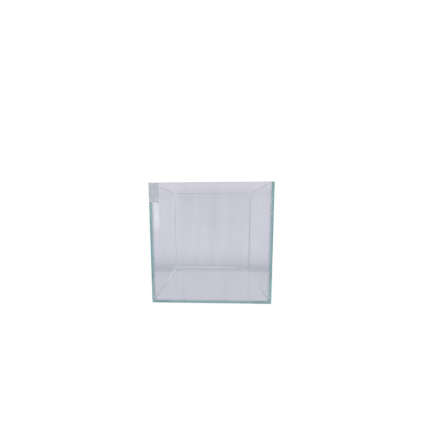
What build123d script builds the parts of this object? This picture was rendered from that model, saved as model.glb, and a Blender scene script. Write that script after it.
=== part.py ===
"""Rimless open-top glass aquarium: five glued panes, the silicone that joins and seals them, and a
blank label film.

The origin is the centre of the footprint on the surface that the tank stands on. +Z is up and the
front pane faces -Y. The front and back panes are full width, the two side panes stand between them,
and the bottom pane lies inside all four walls, flush with their lower edges.
"""

import os

from build123d import *

# Outside size of the glass box
tank_width = 300.0
tank_depth = 300.0
tank_height = 300.0

# Glass
wall_glass = 5.0
base_glass = 5.0
arris = 0.3  # bevel ground along every edge of a pane

# Silicone
bond_line = 0.5  # film of glue between the edge of one pane and the face of the next
bead_leg = 1.8  # reach of an inner sealing bead along each of its two panes
bead_throat = 0.62  # stand-off from both panes of the middle of the bead's hollow face
bead_end_gap = 1.0  # the upright beads stop this far below the rim

# Label film on the outside of the front pane, in its upper left corner
label_width = 24.0
label_height = 46.0
label_film = 0.1
label_radius = 1.0
label_edge_gap = 0.6  # from the label to the pane's edges, past the bevel

# Faces that the pieces share
inside_x = tank_width / 2 - wall_glass
inside_y = tank_depth / 2 - wall_glass
side_pane_length = 2 * (inside_y - bond_line)
base_pane_width = 2 * (inside_x - bond_line)
base_pane_depth = 2 * (inside_y - bond_line)

UP = Vector(0, 0, 1)
UPRIGHT = (Align.CENTER, Align.MIN)
FLAT = (Align.CENTER, Align.CENTER)

os.makedirs("parts", exist_ok=True)


def save(piece, name):
    """Label a finished piece and write it under its own name."""
    piece.part.label = name
    export_step(piece.part, f"parts/{name}.step")


def cut_pane(name, plane, width, height, thickness, align):
    """A sheet of glass drawn on one of its faces, with all its edges ground to a small bevel."""
    with BuildPart() as pane:
        with BuildSketch(plane):
            Rectangle(width, height, align=align)
        extrude(amount=thickness)
        chamfer(pane.edges(), length=arris)
    save(pane, name)


def bead_section(plane):
    """Section of a sealing bead whose two legs lie along the plane's axes, with a hollow face."""
    with BuildSketch(plane) as section:
        with BuildLine():
            Line((0, 0), (bead_leg, 0))
            ThreePointArc((bead_leg, 0), (bead_throat, bead_throat), (0, bead_leg))
            Line((0, bead_leg), (0, 0))
        make_face()
    return section.sketch


def bond_section(plane):
    """Section of the glue film along one edge of the bottom pane."""
    with BuildSketch(plane) as section:
        Rectangle(bond_line, base_glass, align=(Align.MIN, Align.MIN))
    return section.sketch


def lay_along_wall(draw_section, start, end, height):
    """Extrude a section along the foot of a wall between two inside corners, mitred at both.

    The section's first axis points away from the wall and its second axis points up.
    """
    along = (end - start).normalized()
    away = UP.cross(along)
    foot = Vector(0, 0, height)
    section = draw_section(Plane(origin=start + foot, x_dir=away, z_dir=along))
    with BuildPart() as strip:
        extrude(section, amount=(end - start).length)
        split(bisect_by=Plane(origin=start, z_dir=along - away), keep=Keep.TOP)
        split(bisect_by=Plane(origin=end, z_dir=-along - away), keep=Keep.TOP)
    return strip


# --- Glass panes -----------------------------------------------------------------------------------

cut_pane("base_pane", Plane.XY, base_pane_width, base_pane_depth, base_glass, FLAT)
cut_pane("front_pane", Plane.XZ.offset(inside_y), tank_width, tank_height, wall_glass, UPRIGHT)
cut_pane("back_pane", Plane.XZ.offset(-tank_depth / 2), tank_width, tank_height, wall_glass, UPRIGHT)
cut_pane("left_pane", Plane.YZ.offset(-tank_width / 2), side_pane_length, tank_height, wall_glass, UPRIGHT)
cut_pane("right_pane", Plane.YZ.offset(inside_x), side_pane_length, tank_height, wall_glass, UPRIGHT)

# --- Glue between the end edges of the side panes and the front and back panes ---------------------

for end_name, end_y in (("front", -inside_y), ("back", inside_y - bond_line)):
    for side_name, side_x in (("left", -tank_width / 2), ("right", inside_x)):
        with BuildPart() as corner_bond:
            with BuildSketch(Plane.XY):
                with Locations((side_x, end_y)):
                    Rectangle(wall_glass, bond_line, align=(Align.MIN, Align.MIN))
            extrude(amount=tank_height)
        save(corner_bond, f"{end_name}_{side_name}_corner_bond")

# --- Glue and sealing beads round the bottom pane --------------------------------------------------

# Inside corners of the tank, in the order that the walls follow each other seen from above
corners = {
    "front_left": Vector(-inside_x, -inside_y, 0),
    "front_right": Vector(inside_x, -inside_y, 0),
    "back_right": Vector(inside_x, inside_y, 0),
    "back_left": Vector(-inside_x, inside_y, 0),
}
corner_points = list(corners.values())
next_corner_points = corner_points[1:] + corner_points[:1]
walls = ("front", "right", "back", "left")

base_beads = []
for wall, start, end in zip(walls, corner_points, next_corner_points):
    base_bond = lay_along_wall(bond_section, start, end, 0)
    save(base_bond, f"{wall}_base_bond")
    base_bead = lay_along_wall(bead_section, start, end, base_glass)
    save(base_bead, f"{wall}_base_bead")
    base_beads.append(base_bead.part)

# --- Upright sealing beads in the four corners, standing on the beads round the bottom -------------

for (corner, point), next_point in zip(corners.items(), next_corner_points):
    along = (next_point - point).normalized()
    foot = point + Vector(0, 0, base_glass)
    section = bead_section(Plane(origin=foot, x_dir=along, z_dir=UP))
    with BuildPart() as corner_bead:
        extrude(section, amount=tank_height - base_glass - bead_end_gap)
        add(base_beads, mode=Mode.SUBTRACT)
    save(corner_bead, f"{corner}_corner_bead")

# --- Blank label film ------------------------------------------------------------------------------

label_x = -tank_width / 2 + label_edge_gap + label_width / 2
label_z = tank_height - label_edge_gap - label_height / 2

with BuildPart() as label:
    with BuildSketch(Plane.XZ.offset(tank_depth / 2)):
        with Locations((label_x, label_z)):
            RectangleRounded(label_width, label_height, label_radius)
    extrude(amount=label_film)
save(label, "blank_label")
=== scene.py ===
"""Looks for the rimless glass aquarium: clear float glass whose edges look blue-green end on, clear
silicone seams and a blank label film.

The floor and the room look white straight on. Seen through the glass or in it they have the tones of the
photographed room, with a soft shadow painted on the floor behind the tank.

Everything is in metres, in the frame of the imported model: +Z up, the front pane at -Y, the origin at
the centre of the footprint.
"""

import math

import bmesh
import bpy
from mathutils import Matrix, Vector


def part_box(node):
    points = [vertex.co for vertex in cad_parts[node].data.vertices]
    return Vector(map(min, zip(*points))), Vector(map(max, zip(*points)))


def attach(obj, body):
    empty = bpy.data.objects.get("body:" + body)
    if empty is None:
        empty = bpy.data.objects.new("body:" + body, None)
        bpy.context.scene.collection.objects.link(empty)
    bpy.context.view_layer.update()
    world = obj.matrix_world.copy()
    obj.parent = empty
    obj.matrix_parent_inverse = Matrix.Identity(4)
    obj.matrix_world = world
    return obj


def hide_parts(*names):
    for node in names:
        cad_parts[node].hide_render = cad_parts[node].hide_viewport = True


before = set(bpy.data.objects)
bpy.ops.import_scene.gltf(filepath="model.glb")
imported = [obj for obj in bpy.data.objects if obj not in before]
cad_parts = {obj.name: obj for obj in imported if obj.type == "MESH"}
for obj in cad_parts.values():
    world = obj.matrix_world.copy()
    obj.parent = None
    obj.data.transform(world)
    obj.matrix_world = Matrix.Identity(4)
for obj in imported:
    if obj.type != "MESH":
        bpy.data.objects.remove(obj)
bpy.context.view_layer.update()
scene = bpy.context.scene

MM = 0.001
UP = Vector((0, 0, 1))
WHITE = (1, 1, 1, 1)
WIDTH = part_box("front_pane")[1].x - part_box("front_pane")[0].x

# Each wall runs from the corner in the same place in the list to the next one
WALLS = ("front", "right", "back", "left")
CORNERS = ("front_left", "front_right", "back_right", "back_left")


# --- Camera ----------------------------------------------------------------------------------------

# Place, turn and lens from a fit to the tank's eight corners
SENSOR = 36.0
CAMERA_PLACE = Vector((0.0312, -2.068, 0.7744)) * WIDTH
CAMERA_DOWN = math.radians(5.613)
CAMERA_LEFT = math.radians(2.089)
CAMERA_ROLL = math.radians(-0.24)
CAMERA_LENS = 16.267
CAMERA_SHIFT = (0.0168, 0.0346)
CAMERA_CLIP = (0.01, 50)


def make_camera():
    data = bpy.data.cameras.new("camera")
    data.sensor_width = SENSOR
    data.lens = CAMERA_LENS
    data.shift_x, data.shift_y = CAMERA_SHIFT
    data.clip_start, data.clip_end = CAMERA_CLIP
    camera = bpy.data.objects.new("camera", data)
    camera.matrix_world = (
        Matrix.Translation(CAMERA_PLACE)
        @ Matrix.Rotation(CAMERA_LEFT, 4, "Z")
        @ Matrix.Rotation(math.pi / 2 - CAMERA_DOWN, 4, "X")
        @ Matrix.Rotation(CAMERA_ROLL, 4, "Z")
    )
    scene.collection.objects.link(camera)
    scene.camera = camera


make_camera()


# --- Helpers ---------------------------------------------------------------------------------------


def new_material(name):
    """An empty material and its node tree's shortcuts."""
    material = bpy.data.materials.new(name)
    material.use_nodes = True
    tree = material.node_tree
    tree.nodes.clear()
    return material, tree.nodes, tree.links


def add_piece(name, bm, materials, node):
    """Turn a bmesh into a piece that rides on the tank and stands for a CAD node."""
    mesh = bpy.data.meshes.new(name)
    bmesh.ops.recalc_face_normals(bm, faces=bm.faces)
    bm.to_mesh(mesh)
    bm.free()
    for material in materials:
        mesh.materials.append(material)
    piece = bpy.data.objects.new(name, mesh)
    scene.collection.objects.link(piece)
    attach(piece, "root")
    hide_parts(node)
    return piece


def new_box(size, centre):
    """A box as a bmesh."""
    bm = bmesh.new()
    bmesh.ops.create_cube(bm, size=1)
    bmesh.ops.scale(bm, vec=size, verts=bm.verts)
    bmesh.ops.translate(bm, vec=centre, verts=bm.verts)
    return bm


# --- Materials -------------------------------------------------------------------------------------

GLASS_IOR = 1.52
GLASS_ABSORPTION = (0.0, 0.69, 0.6)
GLASS_DENSITY = 0.8 / WIDTH
SILICONE_IOR = 1.41

# The two colours that each mottled surface goes between
CLEAN_GLASS, WIPED_GLASS = (1, 1, 1), (0.96, 0.96, 0.97)
CLOUDY_SILICONE, PALE_SILICONE = (0.82, 0.94, 0.98), (0.90, 0.98, 1.0)
DARK_FILM, PALE_FILM = (0.58, 0.62, 0.66), (0.63, 0.67, 0.71)


def place_noise(nodes, links, scale, detail, stretch=(1, 1, 1)):
    """Noise laid out in the tank's own metres, drawn out along an axis by a smaller stretch."""
    place = nodes.new("ShaderNodeTexCoord")
    mapping = nodes.new("ShaderNodeMapping")
    mapping.inputs["Scale"].default_value = stretch
    noise = nodes.new("ShaderNodeTexNoise")
    noise.inputs["Scale"].default_value = scale
    noise.inputs["Detail"].default_value = detail
    links.new(place.outputs["Object"], mapping.inputs["Vector"])
    links.new(mapping.outputs["Vector"], noise.inputs["Vector"])
    return noise


def blend(nodes, links, noise, low, high, first, second):
    """A colour that goes from the first to the second as the noise goes from low to high."""
    ramp = nodes.new("ShaderNodeValToRGB")
    ramp.color_ramp.elements[0].position = low
    ramp.color_ramp.elements[0].color = (*first, 1)
    ramp.color_ramp.elements[1].position = high
    ramp.color_ramp.elements[1].color = (*second, 1)
    links.new(noise.outputs["Fac"], ramp.inputs["Fac"])
    return ramp


def add_principled(nodes, links, roughness):
    """A Principled shader wired to a new material output, and that output."""
    out = nodes.new("ShaderNodeOutputMaterial")
    shader = nodes.new("ShaderNodeBsdfPrincipled")
    shader.inputs["Roughness"].default_value = roughness
    links.new(shader.outputs["BSDF"], out.inputs["Surface"])
    return shader, out


def add_bump(nodes, links, noise, shader, strength, distance):
    """Roughen a shader's surface with a noise."""
    bump = nodes.new("ShaderNodeBump")
    bump.inputs["Strength"].default_value = strength
    bump.inputs["Distance"].default_value = distance
    links.new(noise.outputs["Fac"], bump.inputs["Height"])
    links.new(bump.outputs["Normal"], shader.inputs["Normal"])


def glass_surface(name, roughness):
    """Glass that takes its blue-green from the depth that the light goes through."""
    material, nodes, links = new_material(name)
    shader, out = add_principled(nodes, links, roughness)
    shader.inputs["IOR"].default_value = GLASS_IOR
    shader.inputs["Transmission Weight"].default_value = 1.0
    volume = nodes.new("ShaderNodeVolumeAbsorption")
    volume.inputs["Color"].default_value = (*GLASS_ABSORPTION, 1)
    volume.inputs["Density"].default_value = GLASS_DENSITY
    links.new(volume.outputs["Volume"], out.inputs["Volume"])
    return material, nodes, links, shader


def float_glass():
    """Polished sheet, with the faint upright streaks that a wiping cloth leaves."""
    material, nodes, links, shader = glass_surface("float_glass", roughness=0.0)
    noise = place_noise(nodes, links, scale=32, detail=4, stretch=(1, 1, 0.12))
    streaks = blend(nodes, links, noise, low=0.42, high=0.68, first=CLEAN_GLASS, second=WIPED_GLASS)
    links.new(streaks.outputs["Color"], shader.inputs["Base Color"])
    return material


def ground_edge():
    """Edge of a pane as the grinding belt leaves it: finely scored and dull."""
    material, nodes, links, shader = glass_surface("ground_glass_edge", roughness=0.18)
    shader.inputs["Base Color"].default_value = WHITE
    noise = place_noise(nodes, links, scale=900, detail=3)
    add_bump(nodes, links, noise, shader, strength=0.25, distance=0.05 * MM)
    return material


def clear_glue():
    """Silicone in a film so thin that it takes nothing from the light."""
    material, nodes, links = new_material("silicone_film")
    shader, _ = add_principled(nodes, links, roughness=0.0)
    shader.inputs["Base Color"].default_value = WHITE
    shader.inputs["IOR"].default_value = SILICONE_IOR
    shader.inputs["Transmission Weight"].default_value = 1.0
    return material


def milky_silicone():
    """Silicone as it cures in a bead: satin, uneven and slightly milky.

    It is drawn as a see-through film that leaves the light straight, though real silicone bends it. Beads
    that bent it made the back left corner darker than it is in the photo.
    """
    material, nodes, links = new_material("silicone_bead")
    shader, _ = add_principled(nodes, links, roughness=0.25)
    shader.inputs["IOR"].default_value = SILICONE_IOR
    shader.inputs["Alpha"].default_value = 0.14
    noise = place_noise(nodes, links, scale=260, detail=3)
    clouds = blend(nodes, links, noise, low=0.35, high=0.65, first=CLOUDY_SILICONE, second=PALE_SILICONE)
    links.new(clouds.outputs["Color"], shader.inputs["Base Color"])
    add_bump(nodes, links, noise, shader, strength=0.12, distance=0.15 * MM)
    return material


def label_material():
    """Thin translucent film with a matt, faintly mottled face."""
    material, nodes, links = new_material("label_film")
    shader, _ = add_principled(nodes, links, roughness=0.5)
    shader.inputs["Alpha"].default_value = 0.75
    shader.inputs["Subsurface Weight"].default_value = 1.0
    shader.inputs["Subsurface Radius"].default_value = (1, 1, 1)
    shader.inputs["Subsurface Scale"].default_value = 0.3 * MM
    noise = place_noise(nodes, links, scale=180, detail=4)
    mottle = blend(nodes, links, noise, low=0.3, high=0.7, first=DARK_FILM, second=PALE_FILM)
    links.new(mottle.outputs["Color"], shader.inputs["Base Color"])
    return material


glass_face = float_glass()
glass_edge = ground_edge()
glue = clear_glue()
silicone = milky_silicone()
label_film = label_material()


# --- Glass panes -----------------------------------------------------------------------------------

ARRIS = 0.3 * MM  # rounding along every edge of a pane
ARRIS_STEPS = 3
FACE_SQUARE = 0.99  # a polished face's normal lies along the pane's thickness at least this closely


def make_pane(node):
    """A sheet of glass with rounded arrises, its narrow edges in the ground finish."""
    low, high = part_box(node)
    size = high - low
    thin = min(range(3), key=lambda axis: size[axis])
    bm = new_box(size, (low + high) / 2)
    bmesh.ops.bevel(bm, geom=bm.edges[:], offset=ARRIS, segments=ARRIS_STEPS, profile=0.5, affect="EDGES")
    for face in bm.faces:
        face.material_index = 0 if abs(face.normal[thin]) > FACE_SQUARE else 1
    add_piece(f"{node}_glass", bm, [glass_face, glass_edge], node)


for pane in ("base_pane", "front_pane", "back_pane", "left_pane", "right_pane"):
    make_pane(pane)


# --- Silicone --------------------------------------------------------------------------------------

# Faces of the glass that the silicone lies on
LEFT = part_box("left_pane")[1].x
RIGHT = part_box("right_pane")[0].x
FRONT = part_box("front_pane")[1].y
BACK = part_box("back_pane")[0].y
BASE_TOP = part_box("base_pane")[1].z
BASE_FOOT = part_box("base_pane")[0].z
INSIDE_CORNERS = {
    "front_left": Vector((LEFT, FRONT, 0)),
    "front_right": Vector((RIGHT, FRONT, 0)),
    "back_right": Vector((RIGHT, BACK, 0)),
    "back_left": Vector((LEFT, BACK, 0)),
}

BOND_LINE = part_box("front_base_bond")[1].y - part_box("front_base_bond")[0].y
WETTING = 0.03 * MM  # how far the silicone is sunk into the glass, so that no air shows between them
SMOOTH_ANGLE = math.radians(40)

# Section of a bead: two legs along the glass, joined by an arc whose centre is as far from one as the other
BEAD_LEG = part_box("front_base_bead")[1].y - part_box("front_base_bead")[0].y
BEAD_THROAT = 0.62 * MM  # stand-off from both panes of the middle of the hollow face
BEAD_CENTRE = (BEAD_LEG**2 - 2 * BEAD_THROAT**2) / (2 * BEAD_LEG - 4 * BEAD_THROAT)
BEAD_RADIUS = math.sqrt(2) * (BEAD_CENTRE - BEAD_THROAT)
BEAD_STEPS = 8

# How a bead laid by hand wanders: its share of the section, and pairs of a phase and a rate
BEAD_WAVER = 0.005
SWAYS = ((1, 11), (2.7, 29), (5.1, 61))
BASE_SEED = 1.3
CORNER_SEED = 7.7

BASE_STATIONS = 60
CORNER_STATIONS = 80
FOOT_GAP = 1 * MM  # from the top of the base beads to where an upright bead has its full section
DOME = 2 * MM  # height over which the top of an upright bead runs out
DOME_STEPS = 5
DOME_TIP = 0.3  # share of the section that is left at the very top


def bead_height(away):
    """Height of a bead's hollow face at a distance from its wall."""
    return BEAD_CENTRE - math.sqrt(BEAD_RADIUS**2 - (away - BEAD_CENTRE) ** 2)


def bead_outline():
    """The bead's section as (away, up) points: the buried corner, then across the hollow face."""
    first = math.atan2(-BEAD_CENTRE, BEAD_LEG - BEAD_CENTRE)
    last = math.atan2(BEAD_LEG - BEAD_CENTRE, -BEAD_CENTRE) - 2 * math.pi
    points = [(-WETTING, -WETTING), (BEAD_LEG, -WETTING)]
    for step in range(BEAD_STEPS + 1):
        angle = first + (last - first) * step / BEAD_STEPS
        away = BEAD_CENTRE + BEAD_RADIUS * math.cos(angle)
        up = BEAD_CENTRE + BEAD_RADIUS * math.sin(angle)
        points.append((away, up))
    points.append((-WETTING, BEAD_LEG))
    return points


def waver(seed, share):
    """A slow wandering between about -1 and 1 along a bead, still at both of its ends."""
    sway = sum(math.sin(phase * seed + rate * share) for phase, rate in SWAYS)
    return sway / 2 * math.sin(math.pi * share) ** 0.5


def loft(rings):
    """Join rings of points into a closed skin with a fan over each end."""
    bm = bmesh.new()
    loops = [[bm.verts.new(point) for point in ring] for ring in rings]
    count = len(rings[0])
    for here, there in zip(loops, loops[1:]):
        for index in range(count):
            after = (index + 1) % count
            bm.faces.new((here[index], here[after], there[after], there[index]))
    for loop in (loops[0], loops[-1]):
        for index in range(1, count - 1):
            bm.faces.new((loop[0], loop[index], loop[index + 1]))
    return bm


def add_strip(node, rings, material):
    """A lofted strip of silicone, shaded smooth except across its sharp edges."""
    piece = add_piece(f"{node}_silicone", loft(rings), [material], node)
    for polygon in piece.data.polygons:
        polygon.use_smooth = True
    piece.data.set_sharp_from_angle(angle=SMOOTH_ANGLE)


def make_base_strip(wall, part, material, outline, foot, wavering=0, seed=0):
    """A strip along the foot of a wall between two inside corners, mitred at both."""
    index = WALLS.index(wall)
    start = INSIDE_CORNERS[CORNERS[index]]
    end = INSIDE_CORNERS[CORNERS[(index + 1) % len(CORNERS)]]
    length = (end - start).length
    along = (end - start).normalized()
    inward = UP.cross(along)
    stations = BASE_STATIONS if wavering else 1
    rings = []
    for station in range(stations + 1):
        share = station / stations
        scale = 1 + wavering * waver(seed, share)
        ring = []
        for away, up in outline:
            run = away + share * (length - 2 * away)
            ring.append(start + along * run + inward * away * scale + UP * (foot + up * scale))
        rings.append(ring)
    add_strip(f"{wall}_base_{part}", rings, material)


def make_corner_bead(corner, seed):
    """An upright bead: its foot fits over the beads round the base, and its top runs out in a dome."""
    node = f"{corner}_corner_bead"
    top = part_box(node)[1].z
    place = INSIDE_CORNERS[corner]
    inward_x = Vector((-math.copysign(1, place.x), 0, 0))
    inward_y = Vector((0, -math.copysign(1, place.y), 0))
    outline = bead_outline()

    def ring(scale, heights):
        return [
            place + inward_x * a * scale + inward_y * b * scale + UP * height
            for (a, b), height in zip(outline, heights)
        ]

    def level_ring(scale, height):
        return ring(scale, [height] * len(outline))

    rings = [ring(1, [BASE_TOP + bead_height(max(0, min(a, b))) for a, b in outline])]
    foot_top = BASE_TOP + BEAD_LEG + FOOT_GAP
    for step in range(CORNER_STATIONS + 1):
        height = foot_top + (top - DOME - foot_top) * step / CORNER_STATIONS
        rings.append(level_ring(1 + BEAD_WAVER * waver(seed, step / CORNER_STATIONS), height))
    for step in range(1, DOME_STEPS + 1):
        turn = step / DOME_STEPS * math.pi / 2
        height = top - DOME + DOME * math.sin(turn)
        rings.append(level_ring(DOME_TIP + (1 - DOME_TIP) * math.cos(turn), height))
    add_strip(node, rings, silicone)


def make_corner_bond(node):
    """The glue film between the end edge of a side pane and the face of the front or back pane."""
    low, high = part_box(node)
    size = high - low + Vector((0, 2 * WETTING, -2 * WETTING))
    add_piece(f"{node}_silicone", new_box(size, (low + high) / 2), [glue], node)


bond_outline = [
    (-WETTING, WETTING),
    (BOND_LINE + WETTING, WETTING),
    (BOND_LINE + WETTING, BASE_TOP - BASE_FOOT),
    (-WETTING, BASE_TOP - BASE_FOOT),
]
for index, wall in enumerate(WALLS):
    make_base_strip(wall, "bond", glue, bond_outline, BASE_FOOT)
    make_base_strip(wall, "bead", silicone, bead_outline(), BASE_TOP, BEAD_WAVER, BASE_SEED + index)
for index, corner in enumerate(CORNERS):
    make_corner_bead(corner, CORNER_SEED + index)
for end_name in ("front", "back"):
    for side_name in ("left", "right"):
        make_corner_bond(f"{end_name}_{side_name}_corner_bond")


# --- Label -----------------------------------------------------------------------------------------

label_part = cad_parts["blank_label"]
label_part.data.materials.clear()
label_part.data.materials.append(label_film)


# --- Stage -----------------------------------------------------------------------------------------

# The room's tones by the height of the direction, then the tones that it has to the sides and the front
ROOM_TONES = (
    (0.00, (0.655, 0.643, 0.73)),
    (0.05, (0.645, 0.633, 0.718)),
    (0.10, (0.618, 0.605, 0.685)),
    (0.115, (0.665, 0.65, 0.715)),
    (1.00, (0.76, 0.76, 0.80)),
)
SIDE_ROOM_TONE = (0.79, 0.78, 0.86)
FRONT_ROOM_TONE = (0.42, 0.42, 0.455)
ROOM_SIDES = (0.14, 0.6)  # X of the directions between which the room goes over to its side tone
ROOM_FRONT = (-0.95, -0.15)  # Y of the directions between which the room leaves its front tone

# The floor's tones, with a painted soft shadow, by the distance behind the middle of the tank, in tank
# widths like all the floor's places
FLOOR_TONES = (
    (0.000, (0.565, 0.56, 0.635)),
    (0.330, (0.535, 0.54, 0.615)),
    (0.365, (0.425, 0.43, 0.495)),
    (0.568, (0.455, 0.46, 0.525)),
    (0.720, (0.53, 0.535, 0.605)),
    (1.024, (0.595, 0.59, 0.665)),
    (1.760, (0.655, 0.643, 0.73)),
)
SHADOW_SIDES = (0.75, 1.3)  # where the shadow starts and stops fading to either side
FLOOR_FAR = (1.5, 11.0)  # where the floor starts to take on the room's tone, and where it has it

FLOOR_GAP = 0.3 * MM
FLOOR_REACH = 20  # from the middle of the floor to its edges, in metres

BOUNCES = 64  # a view along the panes crosses and mirrors in a great many faces of glass
TRANSPARENT_BOUNCES = 32


def white_for_camera(nodes, links, out, grey, white):
    """Show the white shader straight on, and the grey one wherever glass bends or mirrors the view."""
    mix = nodes.new("ShaderNodeMixShader")
    path = nodes.new("ShaderNodeLightPath")
    links.new(path.outputs["Is Camera Ray"], mix.inputs[0])
    links.new(grey.outputs[0], mix.inputs[1])
    links.new(white.outputs[0], mix.inputs[2])
    links.new(mix.outputs[0], out.inputs["Surface"])


def make_ramp(nodes, stops):
    """A colour ramp with a stop for each position and colour, and the value that its end stands for."""
    last = stops[-1][0]
    ramp = nodes.new("ShaderNodeValToRGB")
    elements = ramp.color_ramp.elements
    while len(elements) < len(stops):
        elements.new(0.5)  # placed below
    for element, (position, colour) in zip(elements, stops):
        element.position = position / last
        element.color = (*colour, 1)
    return ramp, last


def fade(nodes, links, value, start, stop, first, second, shape="SMOOTHSTEP"):
    """A colour that goes from the first to the second as a value goes from start to stop."""
    share = nodes.new("ShaderNodeMapRange")
    share.interpolation_type = shape
    share.inputs["From Min"].default_value = start
    share.inputs["From Max"].default_value = stop
    links.new(value, share.inputs["Value"])
    mix = nodes.new("ShaderNodeMix")
    mix.data_type = "RGBA"
    links.new(share.outputs["Result"], mix.inputs[0])
    for socket, colour in ((mix.inputs[6], first), (mix.inputs[7], second)):
        if isinstance(colour, tuple):
            socket.default_value = (*colour, 1)
        else:
            links.new(colour, socket)
    return mix.outputs[2]


def absolute(nodes, links, value):
    """The size of a value without its sign."""
    node = nodes.new("ShaderNodeMath")
    node.operation = "ABSOLUTE"
    links.new(value, node.inputs[0])
    return node.outputs[0]


def room_by_bearing(nodes, links, direction, tone):
    """Lighten a tone towards the room's sides and darken it towards the room's front."""
    parts = nodes.new("ShaderNodeSeparateXYZ")
    links.new(direction, parts.inputs[0])
    sideways = absolute(nodes, links, parts.outputs["X"])
    sides = fade(nodes, links, sideways, *ROOM_SIDES, tone, SIDE_ROOM_TONE, "LINEAR")
    return fade(nodes, links, parts.outputs["Y"], *ROOM_FRONT, FRONT_ROOM_TONE, sides)


def make_world():
    """A pale studio round the tank: lighter above and to the sides, darker on the camera's side."""
    world = bpy.data.worlds.new("studio")
    scene.world = world
    world.use_nodes = True
    nodes, links = world.node_tree.nodes, world.node_tree.links
    nodes.clear()
    out = nodes.new("ShaderNodeOutputWorld")
    direction = nodes.new("ShaderNodeTexCoord")
    split = nodes.new("ShaderNodeSeparateXYZ")
    links.new(direction.outputs["Generated"], split.inputs[0])
    height, _ = make_ramp(nodes, ROOM_TONES)
    links.new(split.outputs["Z"], height.inputs["Fac"])
    tone = room_by_bearing(nodes, links, direction.outputs["Generated"], height.outputs["Color"])
    room = nodes.new("ShaderNodeBackground")
    links.new(tone, room.inputs["Color"])
    white = nodes.new("ShaderNodeBackground")
    white.inputs["Color"].default_value = WHITE
    white_for_camera(nodes, links, out, room, white)


def floor_tone(nodes, links, place):
    """The table top's tone: a painted soft shadow behind the tank, and the room's own tone far away."""
    split = nodes.new("ShaderNodeSeparateXYZ")
    links.new(place, split.inputs[0])
    # Painted shadow: the floor's glow darkens behind the tank with distance, not from any lamp
    shaded, furthest = make_ramp(nodes, FLOOR_TONES)
    distance = nodes.new("ShaderNodeMath")
    distance.operation = "DIVIDE"
    distance.inputs[1].default_value = furthest * WIDTH
    links.new(split.outputs["Y"], distance.inputs[0])
    links.new(distance.outputs[0], shaded.inputs["Fac"])
    (near, near_tone), (far, far_tone) = FLOOR_TONES[0], FLOOR_TONES[-1]
    unshaded = fade(nodes, links, split.outputs["Y"], near * WIDTH, far * WIDTH, near_tone, far_tone)
    sideways = absolute(nodes, links, split.outputs["X"])
    start, stop = (edge * WIDTH for edge in SHADOW_SIDES)
    pool = fade(nodes, links, sideways, start, stop, shaded.outputs["Color"], unshaded)
    bearing = nodes.new("ShaderNodeVectorMath")
    bearing.operation = "NORMALIZE"
    links.new(place, bearing.inputs[0])
    horizon = room_by_bearing(nodes, links, bearing.outputs["Vector"], ROOM_TONES[0][1])
    reach = nodes.new("ShaderNodeVectorMath")
    reach.operation = "LENGTH"
    links.new(place, reach.inputs[0])
    start, stop = (edge * WIDTH for edge in FLOOR_FAR)
    return fade(nodes, links, reach.outputs["Value"], start, stop, pool, horizon)


def make_floor():
    """A pale table top, just under the tank."""
    material, nodes, links = new_material("floor")
    out = nodes.new("ShaderNodeOutputMaterial")
    place = nodes.new("ShaderNodeTexCoord")
    # The floor glows in its tones, painted shadow included, rather than being lit
    grey = nodes.new("ShaderNodeEmission")
    links.new(floor_tone(nodes, links, place.outputs["Object"]), grey.inputs["Color"])
    white = nodes.new("ShaderNodeEmission")
    white.inputs["Color"].default_value = WHITE
    white_for_camera(nodes, links, out, grey, white)
    bm = bmesh.new()
    bmesh.ops.create_grid(bm, x_segments=1, y_segments=1, size=FLOOR_REACH)
    mesh = bpy.data.meshes.new("floor")
    bm.to_mesh(mesh)
    bm.free()
    mesh.materials.append(material)
    floor = bpy.data.objects.new("floor", mesh)
    floor.location.z = -FLOOR_GAP
    scene.collection.objects.link(floor)


def make_softbox(name, place, aim, width, height, radiance, spread=180, mirrored=True):
    """A rectangular lamp that faces a point, placed and sized in tank widths.

    One that isn't mirrored lights the label and the beads, but doesn't show in or through the glass.
    """
    place = Vector(place) * WIDTH
    aim = Vector(aim) * WIDTH
    data = bpy.data.lights.new(name, "AREA")
    data.shape = "RECTANGLE"
    data.size = width * WIDTH
    data.size_y = height * WIDTH
    data.energy = radiance * math.pi * data.size * data.size_y
    data.spread = math.radians(spread)
    lamp = bpy.data.objects.new(name, data)
    lamp.location = place
    lamp.rotation_euler = (aim - place).to_track_quat("-Z", "Y").to_euler()
    lamp.visible_camera = False
    lamp.visible_glossy = mirrored
    lamp.visible_transmission = mirrored
    scene.collection.objects.link(lamp)


make_world()
make_floor()
overhead = {"place": (0, 0, 6), "aim": (0, 0, 0), "width": 5.6, "height": 5.6}
make_softbox("overhead_softbox", **overhead, radiance=1.2)
make_softbox("overhead_fill", **overhead, radiance=5.2, mirrored=False)
make_softbox(
    "front_softbox",
    place=(2, -4, 8.4),
    aim=(0, 0, 0.4),
    width=4.8,
    height=4.8,
    radiance=13.2,
    mirrored=False,
)
make_softbox(
    "strip_light",
    place=(1.288, 5.48, 0.548),
    aim=(-0.48, -0.376, 0.72),
    width=0.212,
    height=1.096,
    radiance=0.002,
    spread=14,
)

scene.view_settings.view_transform = "Standard"
scene.cycles.max_bounces = BOUNCES
scene.cycles.transmission_bounces = BOUNCES
scene.cycles.glossy_bounces = BOUNCES
scene.cycles.transparent_max_bounces = TRANSPARENT_BOUNCES
